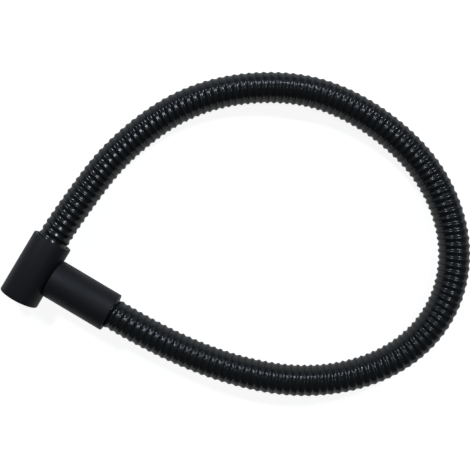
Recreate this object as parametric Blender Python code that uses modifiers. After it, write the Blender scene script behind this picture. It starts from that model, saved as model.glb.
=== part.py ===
"""Suction hose of a floor scrubber: a corrugated hose with a soft moulded cuff on each end.

The hose lies on its side in one open loop, and its two cuffs meet at right angles, the mouth of the
squeegee cuff against the side of the tank cuff.

Frame, in metres: +Z is up and the floor is z = 0. The origin is on the floor, under the middle of the
box round both cuffs. The tank cuff lies along Y with its mouth at -Y, and the squeegee cuff lies along
X with its mouth at -X.
"""

import math

import bpy
import numpy as np

# Hose. The solid is plain: it stands for the crests of the corrugation.
HOSE_DIAMETER = 0.047  # over the crests
HOSE_BORE = 0.038
DROP_LENGTH = 0.120  # run in which the hose comes down from a cuff to the floor

# Cuffs. Both are the same moulding.
CUFF_LENGTH = 0.100
MOUTH_BORE = 0.050  # slips over the spigot of the machine
MOUTH_WALL = 0.005
SOCKET_DEPTH = 0.040  # how far the hose goes in
COLLAR_THICKNESS = 0.005  # inner collar that the hose end meets
RIM_RADIUS = 0.0012  # rounding of the outer rims
LEAD_IN = 0.0015  # chamfer at the mouth and at the socket

# Gaps and places
CLEARANCE = 0.0003  # between faces that touch
SIDE_SHIFT = 0.0015  # the squeegee cuff's axis, from the middle of the tank cuff towards its hose

# Steps of the round shapes
TURN_STEPS = 64
RIM_STEPS = 3
HOSE_RESOLUTION = 4

# The hose's middle line on the floor, from the tank cuff round to the squeegee cuff, chosen by hand
ROUTE = [
    (-0.047, 0.122),
    (-0.039, 0.191),
    (-0.020, 0.257),
    (0.010, 0.318),
    (0.054, 0.371),
    (0.108, 0.412),
    (0.171, 0.441),
    (0.238, 0.452),
    (0.306, 0.448),
    (0.372, 0.430),
    (0.431, 0.395),
    (0.477, 0.344),
    (0.502, 0.280),
    (0.501, 0.212),
    (0.475, 0.149),
    (0.431, 0.097),
    (0.375, 0.057),
    (0.312, 0.030),
    (0.245, 0.013),
    (0.177, 0.004),
]

CUFF_RADIUS = MOUTH_BORE / 2 + MOUTH_WALL
HOSE_RADIUS = HOSE_DIAMETER / 2
SOCKET_RADIUS = HOSE_RADIUS + CLEARANCE
HOSE_REACH = SOCKET_DEPTH - CLEARANCE  # from the cuff's end face to the hose's end

TANK_X = -(CUFF_LENGTH + CLEARANCE) / 2
TANK_MOUTH = (TANK_X, -CUFF_LENGTH / 2, CUFF_RADIUS)
TANK_END = (TANK_X, CUFF_LENGTH / 2, CUFF_RADIUS)
SQUEEGEE_X = TANK_X + CUFF_RADIUS + CLEARANCE
SQUEEGEE_MOUTH = (SQUEEGEE_X, SIDE_SHIFT, CUFF_RADIUS)
SQUEEGEE_END = (SQUEEGEE_X + CUFF_LENGTH, SIDE_SHIFT, CUFF_RADIUS)


def clear_scene():
    """Removes whatever the scene holds."""
    for old in list(bpy.data.objects):
        bpy.data.objects.remove(old, do_unlink=True)


def make_material(name, colour, roughness):
    """A plain moulded plastic or rubber finish."""
    material = bpy.data.materials.new(name)
    material.use_nodes = True
    shader = material.node_tree.nodes["Principled BSDF"]
    shader.inputs["Base Color"].default_value = (*colour, 1.0)
    shader.inputs["Roughness"].default_value = roughness
    shader.inputs["Metallic"].default_value = 0.0
    material.diffuse_color = (*colour, 1.0)
    return material


def quarter_round(centre_r, centre_z, radius, start_degrees):
    """Points of a quarter circle that turns clockwise from start_degrees, in the (r, z) plane."""
    points = []
    for step in range(RIM_STEPS + 1):
        angle = math.radians(start_degrees - 90 * step / RIM_STEPS)
        points.append((centre_r + radius * math.cos(angle), centre_z + radius * math.sin(angle)))
    return points


def cuff_profile():
    """The cuff's section as (radius, height) points, mouth at 0, running down the outer side first."""
    mouth_radius = MOUTH_BORE / 2
    thinnest = min(MOUTH_WALL, CUFF_RADIUS - SOCKET_RADIUS)
    rim = min(RIM_RADIUS, thinnest / 3)
    lead_in = min(LEAD_IN, thinnest / 3)
    collar_top = CUFF_LENGTH - SOCKET_DEPTH
    collar_foot = collar_top - COLLAR_THICKNESS

    outside = quarter_round(CUFF_RADIUS - rim, CUFF_LENGTH - rim, rim, 90)
    outside += quarter_round(CUFF_RADIUS - rim, rim, rim, 0)
    inside = [
        (mouth_radius + lead_in, 0),
        (mouth_radius, lead_in),
        (mouth_radius, collar_foot),
        (HOSE_BORE / 2, collar_foot),
        (HOSE_BORE / 2, collar_top),
        (SOCKET_RADIUS, collar_top),
        (SOCKET_RADIUS, CUFF_LENGTH - lead_in),
        (SOCKET_RADIUS + lead_in, CUFF_LENGTH),
    ]
    return outside + inside


def make_cuff(name, mouth, turn, material, collection):
    """A cuff turned from its section, with its mouth's centre at mouth and its axis turned by turn."""
    profile = cuff_profile()
    points = [(radius, 0, height) for radius, height in profile]
    edges = [(i, (i + 1) % len(points)) for i in range(len(points))]
    mesh = bpy.data.meshes.new(name)
    mesh.from_pydata(points, edges, [])
    cuff = bpy.data.objects.new(name, mesh)
    cuff.location = mouth
    cuff.rotation_euler = turn
    cuff.data.materials.append(material)
    collection.objects.link(cuff)

    screw = cuff.modifiers.new("turned", "SCREW")
    screw.axis = "Z"
    screw.angle = 2 * math.pi
    screw.steps = screw.render_steps = TURN_STEPS
    screw.use_merge_vertices = True
    screw.merge_threshold = 0.00001
    return cuff


def slopes_through(points, along, start_slope, end_slope):
    """The slopes at the points of the smooth cubic curve through them, with its end slopes given."""
    count = len(points)
    step = np.diff(along)
    chord = np.diff(points, axis=0) / step[:, None]
    weights = np.zeros((count, count))
    sums = np.zeros_like(points)
    weights[0, 0] = weights[-1, -1] = 1
    sums[0], sums[-1] = start_slope, end_slope
    for i in range(1, count - 1):
        weights[i, i - 1 : i + 2] = step[i], 2 * (step[i - 1] + step[i]), step[i - 1]
        sums[i] = 3 * (step[i] * chord[i - 1] + step[i - 1] * chord[i])
    return np.linalg.solve(weights, sums)


def smooth_curve(points, start_slope, end_slope, count):
    """That many steps along the smooth curve through the points, ends included."""
    along = np.concatenate([[0], np.cumsum(np.linalg.norm(np.diff(points, axis=0), axis=1))])
    slopes = slopes_through(points, along, start_slope, end_slope)
    wanted = np.linspace(0, along[-1], count + 1)
    first = np.clip(np.searchsorted(along, wanted, side="right") - 1, 0, len(points) - 2)
    gap = (along[first + 1] - along[first])[:, None]
    t = (wanted[:, None] - along[first][:, None]) / gap
    start_part = (1 + 2 * t) * (1 - t) ** 2 * points[first] + t * (1 - t) ** 2 * gap * slopes[first]
    end_part = t**2 * (3 - 2 * t) * points[first + 1] + t**2 * (t - 1) * gap * slopes[first + 1]
    return start_part + end_part


def hose_path():
    """The hose's middle line from its end in the tank cuff to its end in the squeegee cuff."""
    flat = np.array([TANK_END[:2], *ROUTE, SQUEEGEE_END[:2]])
    length = np.linalg.norm(np.diff(flat, axis=0), axis=1).sum()
    count = round(length / HOSE_DIAMETER)
    curve = smooth_curve(flat, (0, 1), (-1, 0), count)

    along = np.linspace(0, length, count + 1)
    from_cuff = np.minimum(along, length - along) / DROP_LENGTH
    left = np.clip(1 - from_cuff, 0, 1)
    height = HOSE_RADIUS + (CUFF_RADIUS - HOSE_RADIUS) * left**2 * (3 - 2 * left)
    free = np.column_stack([curve, height])

    tank_stop = (TANK_X, TANK_END[1] - HOSE_REACH, CUFF_RADIUS)
    squeegee_stop = (SQUEEGEE_END[0] - HOSE_REACH, SIDE_SHIFT, CUFF_RADIUS)
    return [tank_stop, *free.tolist(), squeegee_stop]


def make_hose(name, material, collection):
    """The hose as a plain round tube along its middle line."""
    path = hose_path()
    curve = bpy.data.curves.new(name, "CURVE")
    curve.dimensions = "3D"
    curve.twist_mode = "Z_UP"
    curve.bevel_depth = HOSE_RADIUS
    curve.bevel_resolution = HOSE_RESOLUTION
    curve.use_fill_caps = True
    spline = curve.splines.new("POLY")
    spline.points.add(len(path) - 1)
    for point, place in zip(spline.points, path):
        point.co = (*place, 1)
    spline.use_smooth = True
    curve.materials.append(material)
    hose = bpy.data.objects.new(name, curve)
    collection.objects.link(hose)
    return hose


def main():
    """Builds the hose and its two cuffs in one collection."""
    clear_scene()
    collection = bpy.data.collections.new("scrubber_suction_hose")
    bpy.context.scene.collection.children.link(collection)

    hose_plastic = make_material("glossy_black_hose_plastic", (0.010, 0.011, 0.013), 0.3)
    cuff_rubber = make_material("satin_black_cuff_rubber", (0.012, 0.013, 0.014), 0.5)

    make_hose("suction_hose", hose_plastic, collection)
    make_cuff("tank_cuff", TANK_MOUTH, (-math.pi / 2, 0, 0), cuff_rubber, collection)
    make_cuff("squeegee_cuff", SQUEEGEE_MOUTH, (0, math.pi / 2, 0), cuff_rubber, collection)


main()
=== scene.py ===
"""Looks of a floor scrubber's suction hose: a glossy ribbed hose with a satin rubber cuff on each end.

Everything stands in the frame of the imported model, in metres. The hose lies on the floor, z = 0, in one
open loop. The tank cuff lies along Y with its hose at +Y, and the squeegee cuff lies along X with its
hose at +X. The camera looks straight down, turned about its own axis.
"""

import logging
import math
from dataclasses import dataclass, field
from enum import Enum

import bmesh
import bpy
import numpy as np
from mathutils import Matrix, Vector

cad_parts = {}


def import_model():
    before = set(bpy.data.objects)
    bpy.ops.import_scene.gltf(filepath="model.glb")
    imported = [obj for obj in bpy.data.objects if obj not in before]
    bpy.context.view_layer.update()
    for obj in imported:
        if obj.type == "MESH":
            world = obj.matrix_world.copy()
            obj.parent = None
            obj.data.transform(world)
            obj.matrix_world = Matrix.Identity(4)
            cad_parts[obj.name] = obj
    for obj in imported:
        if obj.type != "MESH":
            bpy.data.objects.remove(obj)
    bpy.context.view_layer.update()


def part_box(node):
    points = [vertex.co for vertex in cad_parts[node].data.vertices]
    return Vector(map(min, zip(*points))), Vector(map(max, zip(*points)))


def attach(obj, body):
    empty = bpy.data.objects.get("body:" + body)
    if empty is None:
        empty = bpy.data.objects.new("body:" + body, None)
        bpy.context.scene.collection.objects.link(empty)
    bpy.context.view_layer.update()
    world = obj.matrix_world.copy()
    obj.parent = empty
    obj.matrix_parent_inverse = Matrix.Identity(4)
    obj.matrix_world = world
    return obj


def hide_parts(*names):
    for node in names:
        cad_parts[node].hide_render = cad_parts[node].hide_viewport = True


LOG = logging.getLogger("suction_hose")
BODY = "root"

CLEARANCE = 0.0003  # between the hose's ends and the cuffs' collars
SNAP = 0.00001  # how near a cut a point counts as on it
SECTION_STEPS = 2000  # in which the slopes of the rib's section are summed up

# A Mix node's sockets for colours, which share their names with its other sockets
FIRST_COLOUR = 6
SECOND_COLOUR = 7
MIXED_COLOUR = 2

# The hose's middle line on the floor, from the tank cuff round to the squeegee cuff
ROUTE = (
    (-0.047, 0.122),
    (-0.039, 0.191),
    (-0.020, 0.257),
    (0.010, 0.318),
    (0.054, 0.371),
    (0.108, 0.412),
    (0.171, 0.441),
    (0.238, 0.452),
    (0.306, 0.448),
    (0.372, 0.430),
    (0.431, 0.395),
    (0.477, 0.344),
    (0.502, 0.280),
    (0.501, 0.212),
    (0.475, 0.149),
    (0.431, 0.097),
    (0.375, 0.057),
    (0.312, 0.030),
    (0.245, 0.013),
    (0.177, 0.004),
)


class Heading(Enum):
    """The way a cuff points, from its mouth to its hose."""

    ALONG_X = (1.0, 0.0, 0.0)
    ALONG_Y = (0.0, 1.0, 0.0)

    def direction(self) -> Vector:
        """The heading as a unit vector."""
        return Vector(self.value)

    def turn(self) -> Matrix:
        """The rotation that brings +Z to the heading."""
        return Vector((0, 0, 1)).rotation_difference(self.direction()).to_matrix().to_4x4()


class Wall(Enum):
    """A side of the hose's wall."""

    OUTSIDE = "outside"
    INSIDE = "inside"


def linear_colour(hex_colour: str) -> tuple[float, float, float, float]:
    """Turns an sRGB hex colour into linear values.

    Args:
        hex_colour: Six hex digits, such as "14161A".

    Returns:
        Linear red, green and blue, and an alpha of 1.
    """
    channels = [int(hex_colour[i : i + 2], 16) / 255 for i in (0, 2, 4)]
    linear = [c / 12.92 if c <= 0.04045 else ((c + 0.055) / 1.055) ** 2.4 for c in channels]
    return (*linear, 1.0)


def add_node(
    tree: bpy.types.NodeTree,
    kind: str,
    settings: dict[str | int, object] | None = None,
    links: dict[str | int, bpy.types.NodeSocket] | None = None,
) -> bpy.types.Node:
    """Adds a node with its settings and links.

    Args:
        tree: The node tree that takes the node.
        kind: The node's type, without its "ShaderNode" prefix.
        settings: Values by the name of a property or, where there is none, by the name or number of
            an input socket.
        links: Output sockets by the name or number of the input that they feed.

    Returns:
        The new node.
    """
    node = tree.nodes.new("ShaderNode" + kind)
    for name, value in (settings or {}).items():
        if isinstance(name, str) and hasattr(node, name):
            setattr(node, name, value)
        else:
            node.inputs[name].default_value = value
    for name, socket in (links or {}).items():
        tree.links.new(socket, node.inputs[name])
    return node


def new_material(
    name: str,
    settings: dict[str, object],
) -> tuple[bpy.types.Material, bpy.types.NodeTree, bpy.types.Node]:
    """Makes a material with one Principled shader.

    Args:
        name: The material's name.
        settings: Values of the shader's inputs that are the same all over the surface.

    Returns:
        The material, its node tree and its Principled shader.
    """
    material = bpy.data.materials.new(name)
    material.use_nodes = True
    tree = material.node_tree
    shader = tree.nodes["Principled BSDF"]
    for input_name, value in settings.items():
        shader.inputs[input_name].default_value = value
    return material, tree, shader


def face_corners(grid: np.ndarray) -> np.ndarray:
    """Takes what stands at the four corners of each face of a grid.

    Args:
        grid: What stands at each point of the grid, such as its number or its place.

    Returns:
        The same for each face, with one more axis for its four corners, in order round it.
    """
    return np.stack([grid[:-1, :-1], grid[:-1, 1:], grid[1:, 1:], grid[1:, :-1]], axis=2)


@dataclass(frozen=True)
class HosePlastic:
    """Extruded EVA, a soft plastic that comes off the winder glossy.

    The black itself gives back hardly any light, so the eye reads the hose by the reflections in its
    smooth skin, a coat here: two short streaks on each rib for each lamp, and the pale floor along both
    sides. Fine lines run round the hose from the extruder's die. Rubbing on floors greys the crests and
    takes some of their gloss.
    """

    name: str = "extruded_glossy_eva"
    colour: str = "101212"
    scuffed_colour: str = "181A1B"
    roughness: float = 0.42
    scuffed_roughness: float = 0.55
    specular: float = 0.03
    ior: float = 1.45
    skin: float = 0.23
    scuffed_skin: float = 0.11
    skin_roughness: float = 0.22
    skin_ior: float = 1.80
    cloud_mm: float = 38.0
    # The grain and the die lines are too fine to show, so both are drawn coarser than the real ones
    grain_mm: float = 1.4
    die_line_mm: float = 0.9
    die_line_run_mm: float = 70.0
    relief: float = 0.10
    relief_mm: float = 0.3

    def build(self) -> bpy.types.Material:
        """Makes the finish.

        Returns:
            The material.
        """
        material, tree, shader = new_material(
            self.name,
            {
                "IOR": self.ior,
                "Specular IOR Level": self.specular,
                "Coat Roughness": self.skin_roughness,
                "Coat IOR": self.skin_ior,
            },
        )
        place = add_node(tree, "TexCoord").outputs["Object"]
        worn = self.wear(tree, place)
        colour = add_node(
            tree,
            "Mix",
            {
                "data_type": "RGBA",
                FIRST_COLOUR: linear_colour(self.colour),
                SECOND_COLOUR: linear_colour(self.scuffed_colour),
            },
            {"Factor": worn},
        ).outputs[MIXED_COLOUR]
        tree.links.new(colour, shader.inputs["Base Color"])
        roughness = add_node(
            tree,
            "MapRange",
            {"To Min": self.roughness, "To Max": self.scuffed_roughness},
            {"Value": worn},
        ).outputs["Result"]
        tree.links.new(roughness, shader.inputs["Roughness"])
        skin = add_node(
            tree,
            "MapRange",
            {"To Min": self.skin, "To Max": self.scuffed_skin},
            {"Value": worn},
        ).outputs["Result"]
        tree.links.new(skin, shader.inputs["Coat Weight"])
        bump = self.fine_relief(tree, place)
        tree.links.new(bump, shader.inputs["Normal"])
        tree.links.new(bump, shader.inputs["Coat Normal"])
        return material

    def wear(self, tree: bpy.types.NodeTree, place: bpy.types.NodeSocket) -> bpy.types.NodeSocket:
        """Spreads the wear over the hose: most on the crests, in soft clouds, and none in the valleys.

        Args:
            tree: The material's node tree.
            place: The place on the surface.

        Returns:
            How worn the surface is, from 0 to 1.
        """
        crest = add_node(tree, "Attribute", {"attribute_name": "crest"}).outputs["Fac"]
        clouds = add_node(
            tree,
            "TexNoise",
            {"Scale": 1000 / self.cloud_mm, "Detail": 4.0, "Roughness": 0.6},
            {"Vector": place},
        ).outputs["Fac"]
        return add_node(
            tree,
            "Math",
            {"operation": "MULTIPLY", "use_clamp": True},
            {0: crest, 1: clouds},
        ).outputs["Value"]

    def fine_relief(self, tree: bpy.types.NodeTree, place: bpy.types.NodeSocket) -> bpy.types.NodeSocket:
        """Makes the relief that is too fine for the mesh: a grain, and die lines round the hose.

        Args:
            tree: The material's node tree.
            place: The place on the surface.

        Returns:
            The bumped normal.
        """
        grain = add_node(
            tree,
            "TexNoise",
            {"Scale": 1000 / self.grain_mm, "Detail": 2.0},
            {"Vector": place},
        ).outputs["Fac"]
        unrolled = add_node(tree, "UVMap", {"uv_map": "unrolled"}).outputs["UV"]
        drawn = add_node(
            tree,
            "Mapping",
            {"Scale": (1000 / self.die_line_run_mm, 1000 / self.die_line_mm, 1.0)},
            {"Vector": unrolled},
        ).outputs["Vector"]
        die_lines = add_node(
            tree,
            "TexNoise",
            {"Scale": 1.0, "Detail": 2.0},
            {"Vector": drawn},
        ).outputs["Fac"]
        height = add_node(tree, "Math", {"operation": "ADD"}, {0: grain, 1: die_lines}).outputs["Value"]
        return add_node(
            tree,
            "Bump",
            {"Strength": self.relief, "Distance": self.relief_mm / 1000},
            {"Height": height},
        ).outputs["Normal"]


@dataclass(frozen=True)
class CuffRubber:
    """Injection-moulded thermoplastic rubber with a finely eroded mould surface.

    The fine grain spreads every reflection, so the eye sees one broad soft sheen down each cuff.
    """

    name: str = "moulded_satin_rubber"
    colour: str = "121314"
    rubbed_colour: str = "17181A"
    roughness: float = 0.56
    rubbed_roughness: float = 0.50
    specular: float = 0.125
    ior: float = 1.50
    cloud_mm: float = 26.0
    cloud_range: tuple[float, float] = (0.3, 0.7)
    # The eroded grain is too fine to show, so it is drawn coarser than the real one
    grain_mm: float = 0.9
    relief: float = 0.12
    relief_mm: float = 0.3

    def build(self) -> bpy.types.Material:
        """Makes the finish.

        Returns:
            The material.
        """
        material, tree, shader = new_material(
            self.name,
            {"IOR": self.ior, "Specular IOR Level": self.specular},
        )
        place = add_node(tree, "TexCoord").outputs["Object"]
        clouds = add_node(
            tree,
            "TexNoise",
            {"Scale": 1000 / self.cloud_mm, "Detail": 5.0, "Roughness": 0.55},
            {"Vector": place},
        ).outputs["Fac"]
        colour = add_node(
            tree,
            "Mix",
            {
                "data_type": "RGBA",
                FIRST_COLOUR: linear_colour(self.colour),
                SECOND_COLOUR: linear_colour(self.rubbed_colour),
            },
            {"Factor": clouds},
        ).outputs[MIXED_COLOUR]
        tree.links.new(colour, shader.inputs["Base Color"])
        low, high = self.cloud_range
        roughness = add_node(
            tree,
            "MapRange",
            {"From Min": low, "From Max": high, "To Min": self.roughness, "To Max": self.rubbed_roughness},
            {"Value": clouds},
        ).outputs["Result"]
        tree.links.new(roughness, shader.inputs["Roughness"])
        grain = add_node(
            tree,
            "TexNoise",
            {"Scale": 1000 / self.grain_mm, "Detail": 3.0},
            {"Vector": place},
        ).outputs["Fac"]
        bump = add_node(
            tree,
            "Bump",
            {"Strength": self.relief, "Distance": self.relief_mm / 1000},
            {"Height": grain},
        ).outputs["Normal"]
        tree.links.new(bump, shader.inputs["Normal"])
        return material


@dataclass(frozen=True)
class FloorPaper:
    """Matt white paper, which the eye sees as plain white with only the deepest of the soft shadows.

    It glows for the camera, in reflections and through clear pieces, and the glow lights nothing. The
    grey under the glow takes the lamps' light and the shadows.
    """

    name: str = "matt_white_paper"
    colour: str = "7C7C7C"
    glow: float = 0.90

    def build(self) -> bpy.types.Material:
        """Makes the finish.

        Returns:
            The material.
        """
        material, tree, shader = new_material(
            self.name,
            {
                "Base Color": linear_colour(self.colour),
                "Roughness": 1.0,
                "Specular IOR Level": 0.0,
            },
        )
        ray = add_node(tree, "LightPath").outputs
        seen = add_node(
            tree,
            "Math",
            {"operation": "MAXIMUM"},
            {0: ray["Is Camera Ray"], 1: ray["Is Glossy Ray"]},
        ).outputs["Value"]
        seen = add_node(
            tree,
            "Math",
            {"operation": "MAXIMUM"},
            {0: seen, 1: ray["Is Transmission Ray"]},
        ).outputs["Value"]
        strength = add_node(
            tree,
            "Math",
            {"operation": "MULTIPLY", 1: self.glow},
            {0: seen},
        ).outputs["Value"]
        glow = add_node(tree, "Emission", links={"Strength": strength}).outputs["Emission"]
        both = add_node(tree, "AddShader", links={0: shader.outputs["BSDF"], 1: glow}).outputs["Shader"]
        tree.links.new(both, tree.nodes["Material Output"].inputs["Surface"])
        return material


@dataclass
class MiddleLine:
    """The hose's middle line: straight in both cuffs, and one smooth curve over the floor between them.

    Attributes:
        tank_end: The middle of the tank cuff's end face.
        squeegee_end: The middle of the squeegee cuff's end face.
        reach: How far the hose goes into a cuff.
        resting_height: Height of the line where the hose lies on the floor.
        drop_length: Run in which the hose comes down from a cuff to the floor.
        steps: Steps into which the curve is cut.
        lead: How far the straight ends are carried on past the hose's own ends.
        even_run: Run over which the bend is evened out, in steps.
        places: Its points.
        tangents: Its direction at each point.
        bends: How much it bends at each point, as bend_at gives it.
        along: How far along it each point is, from the hose's end in the tank cuff.
        length: The hose's length along it, with what is in the cuffs.
    """

    tank_end: Vector
    squeegee_end: Vector
    reach: float
    resting_height: float
    drop_length: float = 0.120
    steps: int = 3000
    lead: float = 0.060
    even_run: int = 61
    places: np.ndarray = field(init=False)
    tangents: np.ndarray = field(init=False)
    bends: np.ndarray = field(init=False)
    along: np.ndarray = field(init=False)
    length: float = field(init=False)

    def __post_init__(self) -> None:
        """Works out the line's points, its tangents and bends, and how far along it each point is."""
        tank_way = np.array(Heading.ALONG_Y.value)
        squeegee_way = -np.array(Heading.ALONG_X.value)
        before = np.array(self.tank_end) - (self.reach + self.lead) * tank_way
        after = np.array(self.squeegee_end) + (self.reach + self.lead) * squeegee_way
        self.places = np.vstack([before, self.curve(), after])
        gaps = np.linalg.norm(np.diff(self.places, axis=0), axis=1)
        self.along = np.concatenate([[0], np.cumsum(gaps)]) - self.lead
        self.length = float(self.along[-1]) - self.lead
        slopes = np.gradient(self.places, self.along, axis=0)
        self.tangents = slopes / np.linalg.norm(slopes, axis=1)[:, None]
        turning = np.gradient(self.tangents, self.along, axis=0)
        bends = (turning * np.cross([0.0, 0.0, 1.0], self.tangents)).sum(axis=1)
        self.bends = np.convolve(bends, np.full(self.even_run, 1 / self.even_run), mode="same")

    def slopes_through(self, points: np.ndarray, knots: np.ndarray) -> np.ndarray:
        """Finds the slopes of the smooth cubic curve through the points, straight out of both cuffs.

        Args:
            points: The curve's points on the floor.
            knots: The curve's parameter at each point.

        Returns:
            The slope at each point.
        """
        count = len(points)
        step = np.diff(knots)
        chord = np.diff(points, axis=0) / step[:, None]
        weights = np.zeros((count, count))
        sums = np.zeros_like(points)
        weights[0, 0] = weights[-1, -1] = 1
        sums[0] = Heading.ALONG_Y.value[:2]
        sums[-1] = -np.array(Heading.ALONG_X.value[:2])
        for i in range(1, count - 1):
            weights[i, i - 1 : i + 2] = step[i], 2 * (step[i - 1] + step[i]), step[i - 1]
            sums[i] = 3 * (step[i] * chord[i - 1] + step[i - 1] * chord[i])
        return np.linalg.solve(weights, sums)

    def curve(self) -> np.ndarray:
        """Works out the free stretch, from one cuff's end face to the other's.

        Returns:
            Its points, steps + 1 of them.
        """
        points = np.array([tuple(self.tank_end)[:2], *ROUTE, tuple(self.squeegee_end)[:2]])
        knots = np.concatenate([[0], np.cumsum(np.linalg.norm(np.diff(points, axis=0), axis=1))])
        slopes = self.slopes_through(points, knots)
        wanted = np.linspace(0, knots[-1], self.steps + 1)
        first = np.clip(np.searchsorted(knots, wanted, side="right") - 1, 0, len(points) - 2)
        gap = (knots[first + 1] - knots[first])[:, None]
        t = (wanted[:, None] - knots[first][:, None]) / gap
        start_part = (1 + 2 * t) * (1 - t) ** 2 * points[first] + t * (1 - t) ** 2 * gap * slopes[first]
        end_part = t**2 * (3 - 2 * t) * points[first + 1] + t**2 * (t - 1) * gap * slopes[first + 1]
        from_cuff = np.minimum(wanted, knots[-1] - wanted) / self.drop_length
        left = np.clip(1 - from_cuff, 0, 1)
        rise = self.tank_end.z - self.resting_height
        height = self.resting_height + rise * left**2 * (3 - 2 * left)
        return np.column_stack([start_part + end_part, height])

    def at(self, distances: np.ndarray) -> tuple[np.ndarray, np.ndarray, np.ndarray]:
        """Finds places on the line, with the directions across it.

        Args:
            distances: Distances from the hose's end in the tank cuff, in an array of any shape.

        Returns:
            The places, the directions level with the floor and the directions up, each with one more
            axis than distances.
        """
        place = np.stack([np.interp(distances, self.along, self.places[:, k]) for k in range(3)], -1)
        tangent = np.stack([np.interp(distances, self.along, self.tangents[:, k]) for k in range(3)], -1)
        tangent /= np.linalg.norm(tangent, axis=-1, keepdims=True)
        side = np.cross([0.0, 0.0, 1.0], tangent)
        side /= np.linalg.norm(side, axis=-1, keepdims=True)
        return place, side, np.cross(tangent, side)

    def bend_at(self, distances: np.ndarray) -> np.ndarray:
        """Finds how much the line bends, as one over the bend's radius, positive towards its left."""
        return np.interp(distances, self.along, self.bends)


@dataclass(frozen=True)
class Winding:
    """One side of the hose's wall, as a strip that winds along the hose as the rib does.

    Attributes:
        points: Its points.
        faces: Its faces, as four point numbers each.
        crest: Each point's share of the rib's height.
        unrolled: Each face corner's place on the unrolled strip.
    """

    points: np.ndarray
    faces: np.ndarray
    crest: np.ndarray
    unrolled: np.ndarray


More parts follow.
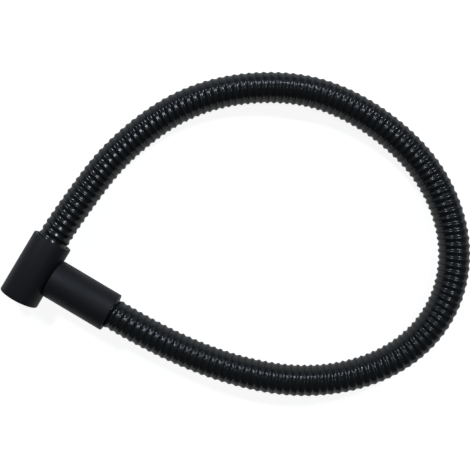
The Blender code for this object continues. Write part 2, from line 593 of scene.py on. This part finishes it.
@dataclass
class SuctionHose:
    """The hose, wound with one rib in a left-handed spiral.

    Attributes:
        line: Its middle line.
        diameter: Diameter over the crests.
        bore: Its smallest bore.
        rib_height: From the valley's bottom to the crest, where the hose is straight.
        pitch: From one crest to the next, along the middle line.
        fall: Run from a crest to the next valley's bottom, as a share of the pitch.
        crest_round: Run on each side of the crest in which it is round, as a share of the pitch.
        fall_round: Run in which the falling flank rounds into the valley, as a share of the pitch.
        rise_round: Run in which the valley rounds into the rising flank, as a share of the pitch.
        folding: How much the ribs deepen where a bend presses them together, and flatten where it
            stretches them, as a share of their height over the share by which the pitch changes.
        groove_depth: Depth of the spiral groove behind the rib, in the bore.
        outside_sides: Steps round the outside.
        inside_sides: Steps round the bore.
        inside_rows: Steps across one rib in the bore.
        spare_turns: Turns that are wound past each end and cut off.
        route_points: Points at which the hose's route is sampled.
    """

    line: MiddleLine
    diameter: float = 0.047
    bore: float = 0.038
    rib_height: float = 0.0019
    pitch: float = 0.0105
    fall: float = 0.55
    crest_round: float = 0.12
    fall_round: float = 0.27
    rise_round: float = 0.12
    folding: float = 1.6
    groove_depth: float = 0.0016
    outside_sides: int = 40
    inside_sides: int = 24
    inside_rows: int = 4
    spare_turns: int = 2
    route_points: int = 120

    def corners(self) -> list[float]:
        """Lists where the rib's flanks begin and end, as shares of the pitch after a crest."""
        return [
            0.0,
            self.crest_round,
            self.fall - self.fall_round,
            self.fall,
            self.fall + self.rise_round,
            1.0 - self.crest_round,
            1.0,
        ]

    def rib(self, shares: np.ndarray) -> np.ndarray:
        """Works out the rib's section: two straight flanks, with a round crest and valley between them.

        Args:
            shares: Places along the rib's section, as shares of the pitch after a crest.

        Returns:
            The height there, 1 at the crest and 0 at the bottom of the valley.
        """
        falling = 1 / (self.fall - (self.crest_round + self.fall_round) / 2)
        rising = 1 / (1 - self.fall - (self.crest_round + self.rise_round) / 2)
        slopes = [0.0, -falling, -falling, 0.0, rising, rising, 0.0]
        fine = np.linspace(0, 1, SECTION_STEPS + 1)
        slope = np.interp(fine, self.corners(), slopes)
        height = 1 + np.concatenate([[0], np.cumsum((slope[1:] + slope[:-1]) / 2 * np.diff(fine))])
        return np.interp(shares, fine, height)

    def rows(self) -> np.ndarray:
        """Places the steps across the rib: close together where it is round and where a flank ends.

        Returns:
            The steps, as shares of the pitch after a crest.
        """
        corners = self.corners()
        # The steps of each stretch between two corners, as shares of that stretch
        steps = (
            (0, 1 / 2),  # off the crest
            (0,),  # down the falling flank
            (0, 1 / 3, 2 / 3),  # into the valley
            (0, 1 / 2),  # out of the valley
            (0, 0.1, 0.9),  # up the rising flank
            (0, 1 / 2),  # onto the next crest
        )
        places = [
            start + part * (end - start)
            for start, end, parts in zip(corners, corners[1:], steps)
            for part in parts
        ]
        return np.array(places)

    def radii(
        self, wall: Wall, distances: np.ndarray, angles: np.ndarray, crest: np.ndarray
    ) -> np.ndarray:
        """Works out how far the points of one side of the wall are from the middle line.

        Args:
            wall: The side of the wall.
            distances: The points' distances along the line, with a row for each step round the hose.
            angles: The angle of each step round the hose, from the line's left.
            crest: The share of the rib's height at each step across the rib.

        Returns:
            The radii, laid out as distances is.
        """
        if wall is Wall.INSIDE:
            return np.broadcast_to(self.bore / 2 + self.groove_depth * crest, distances.shape)
        pressed = self.line.bend_at(distances) * self.diameter / 2 * np.cos(angles)[:, None]
        return self.diameter / 2 - self.rib_height * (1 + self.folding * pressed) * (1 - crest)

    def wind(self, wall: Wall) -> Winding:
        """Winds one side of the wall along the middle line.

        Args:
            wall: The side of the wall.

        Returns:
            The side, which runs on past both ends of the hose.
        """
        outside = wall is Wall.OUTSIDE
        sides = self.outside_sides if outside else self.inside_sides
        across = self.rows() if outside else np.arange(self.inside_rows) / self.inside_rows
        crest = self.rib(across)
        count = (math.ceil(self.line.length / self.pitch) + 2 * self.spare_turns) * sides
        step = np.arange(count) - self.spare_turns * sides
        distances = self.pitch * (step[:, None] / sides + across[None, :])
        angles = -2 * np.pi * step / sides
        radii = self.radii(wall, distances, angles, crest)
        place, level, up = self.line.at(distances)
        round_way = np.cos(angles)[:, None, None] * level + np.sin(angles)[:, None, None] * up
        points = (place + radii[:, :, None] * round_way).reshape(-1, 3)

        # The strip's last edge is the first edge of the strip one turn further on
        number = np.arange(count * len(across)).reshape(count, len(across))
        grid = np.concatenate([number[:-sides], number[sides:, :1]], axis=1)
        run = step[: len(grid)] * (np.pi * self.diameter / sides)
        rise = np.append(across, 1.0) * self.pitch
        unrolled = np.stack(np.meshgrid(run, rise, indexing="ij"), -1)

        # The outside's faces turn the other way round
        order = slice(None, None, -1) if outside else slice(None)
        faces = face_corners(grid).reshape(-1, 4)[:, order]
        places = face_corners(unrolled).reshape(-1, 4, 2)[:, order]
        return Winding(points, faces, np.tile(crest, count), places.reshape(-1, 2))

    def cut_ends(self, shape: bmesh.types.BMesh) -> None:
        """Cuts both ends of the wall flat and closes it there with a ring.

        Args:
            shape: The wall's two sides, which run on past the hose's ends.
        """
        for distance, way in ((0.0, -1.0), (self.line.length, 1.0)):
            place, level, up = (Vector(v) for v in self.line.at(np.array(distance)))
            beyond = way * level.cross(up)
            near = {v for v in shape.verts if (v.co - place).length < self.diameter}
            faces = {f for v in near for f in v.link_faces}
            edges = {e for f in faces for e in f.edges}
            verts = {v for f in faces for v in f.verts}
            cut = bmesh.ops.bisect_plane(
                shape,
                geom=[*verts, *edges, *faces],
                dist=SNAP,
                plane_co=place,
                plane_no=beyond,
                clear_outer=True,
            )
            rim = [e for e in cut["geom_cut"] if isinstance(e, bmesh.types.BMEdge)]
            bmesh.ops.triangle_fill(shape, edges=rim, use_beauty=True, normal=beyond)

    def build(self) -> bpy.types.Object:
        """Makes the hose's mesh.

        Returns:
            The hose, with a "crest" attribute and an unrolled UV map.
        """
        outer = self.wind(Wall.OUTSIDE)
        inner = self.wind(Wall.INSIDE)
        points = np.concatenate([outer.points, inner.points])
        faces = np.concatenate([outer.faces, inner.faces + len(outer.points)])
        mesh = bpy.data.meshes.new("ribbed_hose")
        mesh.from_pydata(points, [], faces)
        crest = np.concatenate([outer.crest, inner.crest]).astype(np.float32)
        mesh.attributes.new("crest", "FLOAT", "POINT").data.foreach_set("value", crest)
        unrolled = np.concatenate([outer.unrolled, inner.unrolled]).astype(np.float32)
        mesh.uv_layers.new(name="unrolled").uv.foreach_set("vector", unrolled.ravel())
        hose = bpy.data.objects.new("ribbed_hose", mesh)
        bpy.context.scene.collection.objects.link(hose)

        shape = bmesh.new()
        shape.from_mesh(mesh)
        self.cut_ends(shape)
        loose = [v for v in shape.verts if not v.link_faces]
        bmesh.ops.delete(shape, geom=loose, context="VERTS")
        bmesh.ops.recalc_face_normals(shape, faces=shape.faces)
        # The rings that close the ends are triangles, which stay flat
        for face in shape.faces:
            face.smooth = len(face.verts) > 3
        shape.to_mesh(mesh)
        shape.free()
        return hose

    def dress(self, hose: bpy.types.Object, finish: bpy.types.Material) -> None:
        """Gives the hose its finish and its place in the frame.

        Args:
            hose: The hose.
            finish: Its material.
        """
        hose.data.materials.append(finish)
        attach(hose, BODY)
        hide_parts("suction_hose")
        path = self.line.at(np.linspace(0, self.line.length, self.route_points))[0].tolist()


@dataclass
class Cuff:
    """One moulded cuff: a wide mouth for the machine's spigot, an inner collar and a socket for the hose.

    Attributes:
        name: The piece's name.
        node: The solid that it stands for.
        heading: The way it points, from its mouth to its hose.
        mouth_bore: Bore of the mouth.
        collar_bore: Bore of the inner collar.
        socket_bore: Bore of the socket.
        mouth_depth: Depth of the mouth.
        collar_thickness: Thickness of the inner collar.
        rim_radius: Rounding of the outer rims.
        rim_steps: Steps of that rounding.
        lead_in: Chamfer at the mouth and at the socket.
        sides: Sides of the round shape.
        sharp_angle: Angle between two faces above which their edge stays sharp, in degrees.
        middle: The middle of its solid.
        length: Its length, from the solid.
        radius: Its outer radius, from the solid.
    """

    name: str
    node: str
    heading: Heading
    mouth_bore: float = 0.050
    collar_bore: float = 0.038
    socket_bore: float = 0.0476
    mouth_depth: float = 0.055
    collar_thickness: float = 0.005
    rim_radius: float = 0.0012
    rim_steps: int = 4
    lead_in: float = 0.0015
    sides: int = 128
    sharp_angle: float = 35.0
    middle: Vector = field(init=False)
    length: float = field(init=False)
    radius: float = field(init=False)

    def __post_init__(self) -> None:
        """Takes the cuff's place, length and outer radius from its solid."""
        low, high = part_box(self.node)
        self.middle = (low + high) / 2
        self.length = abs((high - low).dot(self.heading.direction()))
        self.radius = self.middle.z

    @property
    def hose_end(self) -> Vector:
        """The middle of the end face that the hose comes out of."""
        return self.middle + self.heading.direction() * self.length / 2

    @property
    def collar_top(self) -> float:
        """Height of the face that the hose's end meets, from the cuff's mouth."""
        return self.mouth_depth + self.collar_thickness

    def height_on(self, point: Vector) -> float:
        """How far a point is along the cuff, from its mouth."""
        return (point - self.middle).dot(self.heading.direction()) + self.length / 2

    def distance_out(self, point: Vector) -> float:
        """How far a point is from the cuff's axis."""
        return (point - self.middle).cross(self.heading.direction()).length

    def select_disc(self, height: float) -> None:
        """Selects, in edit mode, the one flat face that closes the bore at a height.

        Args:
            height: The face's height, from the cuff's mouth.
        """
        shape = bmesh.from_edit_mesh(bpy.context.edit_object.data)
        near = 0.00005
        for face in shape.faces:
            centre = face.calc_center_median()
            on_axis = self.distance_out(centre) < near and len(face.verts) == self.sides
            face.select_set(on_axis and abs(self.height_on(centre) - height) < near)
        shape.select_flush_mode()
        bmesh.update_edit_mesh(bpy.context.edit_object.data)

    def select_rings(self, radius: float, heights: tuple[float, ...]) -> None:
        """Selects, in edit mode, the round edges of a radius at some heights.

        Args:
            radius: The edges' radius.
            heights: Their heights, from the cuff's mouth.
        """
        shape = bmesh.from_edit_mesh(bpy.context.edit_object.data)
        near = 0.0002
        for edge in shape.edges:
            ends = [(self.distance_out(v.co), self.height_on(v.co)) for v in edge.verts]
            level = abs(ends[0][1] - ends[1][1]) < near
            right_out = all(abs(out - radius) < near for out, _ in ends)
            edge.select_set(level and right_out and any(abs(ends[0][1] - h) < near for h in heights))
        shape.select_flush_mode()
        bmesh.update_edit_mesh(bpy.context.edit_object.data)

    def sink(self, height: float, wall: float, depth: float) -> None:
        """Sinks a round hole from the disc at a height.

        Args:
            height: The disc's height, from the cuff's mouth.
            wall: How far the hole's edge is inside the disc's edge.
            depth: How far the hole goes, towards the hose where it is positive.
        """
        self.select_disc(height)
        bpy.ops.mesh.inset(thickness=wall, depth=0)
        bpy.ops.mesh.extrude_region_move(
            TRANSFORM_OT_translate={"value": self.heading.direction() * depth}
        )

    def build(self) -> bpy.types.Object:
        """Models the cuff from a cylinder.

        Returns:
            The cuff.
        """
        bpy.ops.object.select_all(action="DESELECT")
        bpy.ops.mesh.primitive_cylinder_add(
            vertices=self.sides, radius=self.radius, depth=self.length, end_fill_type="NGON"
        )
        cuff = bpy.context.object
        cuff.name = self.name
        cuff.data.name = self.name
        cuff.matrix_world = Matrix.Translation(self.middle) @ self.heading.turn()
        bpy.ops.object.transform_apply(location=True, rotation=True, scale=True)

        mouth = self.mouth_bore / 2
        socket = self.socket_bore / 2
        bpy.ops.object.mode_set(mode="EDIT")
        bpy.ops.mesh.select_mode(type="FACE")
        self.sink(0, self.radius - mouth, self.mouth_depth)
        self.sink(self.mouth_depth, mouth - self.collar_bore / 2, self.collar_thickness)
        self.sink(self.length, self.radius - socket, self.collar_top - self.length)
        self.open_collar()
        self.soften_edges(mouth, socket)
        bpy.ops.object.mode_set(mode="OBJECT")
        bpy.ops.object.shade_smooth_by_angle(angle=math.radians(self.sharp_angle))
        return cuff

    def open_collar(self) -> None:
        """Joins the collar's bore to the socket's bottom."""
        self.select_disc(self.collar_top)
        bpy.ops.mesh.delete(type="ONLY_FACE")
        bpy.ops.mesh.select_mode(type="EDGE")
        shape = bmesh.from_edit_mesh(bpy.context.edit_object.data)
        for edge in shape.edges:
            edge.select_set(len(edge.link_faces) == 1)
        bmesh.update_edit_mesh(bpy.context.edit_object.data)
        bpy.ops.mesh.bridge_edge_loops()

    def soften_edges(self, mouth: float, socket: float) -> None:
        """Rounds the outer rims and chamfers the mouth and the socket.

        Args:
            mouth: Radius of the mouth.
            socket: Radius of the socket.
        """
        bpy.ops.mesh.select_mode(type="EDGE")
        self.select_rings(self.radius, (0, self.length))
        bpy.ops.mesh.bevel(offset=self.rim_radius, segments=self.rim_steps, affect="EDGES")
        self.select_rings(mouth, (0,))
        bpy.ops.mesh.bevel(offset=self.lead_in, segments=1, affect="EDGES")
        self.select_rings(socket, (self.length,))
        bpy.ops.mesh.bevel(offset=self.lead_in, segments=1, affect="EDGES")

    def dress(self, cuff: bpy.types.Object, finish: bpy.types.Material) -> None:
        """Gives the cuff its finish and its place in the frame.

        Args:
            cuff: The cuff.
            finish: Its material.
        """
        cuff.data.materials.append(finish)
        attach(cuff, BODY)
        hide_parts(self.node)


@dataclass(frozen=True)
class Lamp:
    """A soft lamp, placed by its direction from the middle of the picture.

    Attributes:
        name: Its name.
        tilt: Angle from straight up, in degrees.
        bearing: Direction in the picture, in degrees from its right edge towards its top.
        distance: From the middle of the picture.
        size: Its width and height.
        power: Its power in watts.
        colour: Its colour.
    """

    name: str
    tilt: float
    bearing: float
    distance: float
    size: tuple[float, float]
    power: float
    colour: str


@dataclass
class Studio:
    """The plain studio: white floor, soft lamps and the camera over the loop.

    Attributes:
        camera_place: Where the camera is.
        camera_turn: Its turn about its own axis, in degrees.
        focal_length: Its focal length in mm.
        sensor_width: The width of its sensor in mm.
        floor_size: Side of the floor.
        lamps: The lamps.
        world_colour: Colour of the light from all round.
        world_strength: Its strength.
    """

    camera_place: tuple[float, float, float] = (0.1805, 0.1964, 1.030)
    camera_turn: float = 30.7
    focal_length: float = 51.09
    sensor_width: float = 36.0
    floor_size: float = 40.0
    lamps: tuple[Lamp, ...] = (
        Lamp("left_softbox", 42.5, 120.6, 3.5, (0.38, 0.38), 77.0, "E8F0FF"),
        Lamp("right_softbox", 42.5, 42.0, 3.5, (0.45, 0.38), 78.0, "E8F0FF"),
        Lamp("ceiling_lamp", 16.0, 0.0, 3.5, (0.35, 0.35), 14.5, "F0F5FF"),
        Lamp("low_windows", 79.0, 112.0, 3.5, (7.0, 1.2), 25.0, "D4E6FF"),
    )
    world_colour: str = "FFFFFF"
    world_strength: float = 0.04

    def picture_way(self, tilt: float, bearing: float) -> Vector:
        """Turns a direction given in the picture into one in the frame.

        Args:
            tilt: Angle from straight up, in degrees.
            bearing: Direction in the picture, in degrees from its right edge towards its top.

        Returns:
            The unit vector.
        """
        lean = math.radians(tilt)
        turn = math.radians(bearing + self.camera_turn)
        return Vector((math.sin(lean) * math.cos(turn), math.sin(lean) * math.sin(turn), math.cos(lean)))

    def add_camera(self) -> None:
        """Adds the camera, looking straight down."""
        data = bpy.data.cameras.new("camera")
        data.lens = self.focal_length
        data.sensor_width = self.sensor_width
        camera = bpy.data.objects.new("camera", data)
        camera.location = self.camera_place
        camera.rotation_euler = (0, 0, math.radians(self.camera_turn))
        bpy.context.scene.collection.objects.link(camera)
        bpy.context.scene.camera = camera

    def add_lamp(self, lamp: Lamp) -> None:
        """Adds one lamp, facing the middle of the picture.

        Args:
            lamp: The lamp.
        """
        data = bpy.data.lights.new(lamp.name, "AREA")
        data.shape = "RECTANGLE"
        data.size, data.size_y = lamp.size
        data.energy = lamp.power
        data.color = linear_colour(lamp.colour)[:3]
        light = bpy.data.objects.new(lamp.name, data)
        way = self.picture_way(lamp.tilt, lamp.bearing)
        middle = Vector((self.camera_place[0], self.camera_place[1], 0))
        light.location = middle + way * lamp.distance
        light.rotation_euler = way.to_track_quat("Z", "Y").to_euler()
        bpy.context.scene.collection.objects.link(light)

    def add_floor(self) -> None:
        """Adds the floor under the hose."""
        half = self.floor_size / 2
        x, y, _ = self.camera_place
        corners = [(x + i * half, y + j * half, 0) for i, j in ((-1, -1), (1, -1), (1, 1), (-1, 1))]
        mesh = bpy.data.meshes.new("floor")
        mesh.from_pydata(corners, [], [(0, 1, 2, 3)])
        mesh.materials.append(FloorPaper().build())
        floor = bpy.data.objects.new("floor", mesh)
        bpy.context.scene.collection.objects.link(floor)

    def add_world(self) -> None:
        """Adds the dim light from all round."""
        world = bpy.data.worlds.new("studio_world")
        world.use_nodes = True
        background = world.node_tree.nodes["Background"]
        background.inputs["Color"].default_value = linear_colour(self.world_colour)
        background.inputs["Strength"].default_value = self.world_strength
        bpy.context.scene.world = world

    def build(self) -> None:
        """Sets the camera first, then the floor and the light."""
        self.add_camera()
        self.add_floor()
        self.add_world()
        for lamp in self.lamps:
            self.add_lamp(lamp)
        bpy.context.scene.view_settings.view_transform = "Standard"


def report(piece: bpy.types.Object) -> None:
    """Logs a finished piece's name and triangle count."""
    piece.data.calc_loop_triangles()
    LOG.info("%s: %d triangles", piece.name, len(piece.data.loop_triangles))


def main() -> None:
    """Builds the studio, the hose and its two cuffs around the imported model."""
    logging.basicConfig(level=logging.INFO, format="%(name)s: %(message)s")
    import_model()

    Studio().build()

    tank_cuff = Cuff("tank_cuff_moulding", "tank_cuff", Heading.ALONG_Y)
    squeegee_cuff = Cuff("squeegee_cuff_moulding", "squeegee_cuff", Heading.ALONG_X)
    line = MiddleLine(
        tank_cuff.hose_end,
        squeegee_cuff.hose_end,
        reach=tank_cuff.length - tank_cuff.collar_top - CLEARANCE,
        resting_height=SuctionHose.diameter / 2,
    )
    suction_hose = SuctionHose(line)
    hose = suction_hose.build()
    suction_hose.dress(hose, HosePlastic().build())
    report(hose)

    rubber = CuffRubber().build()
    for cuff in (tank_cuff, squeegee_cuff):
        moulding = cuff.build()
        cuff.dress(moulding, rubber)
        report(moulding)


if __name__ == "__main__":
    main()
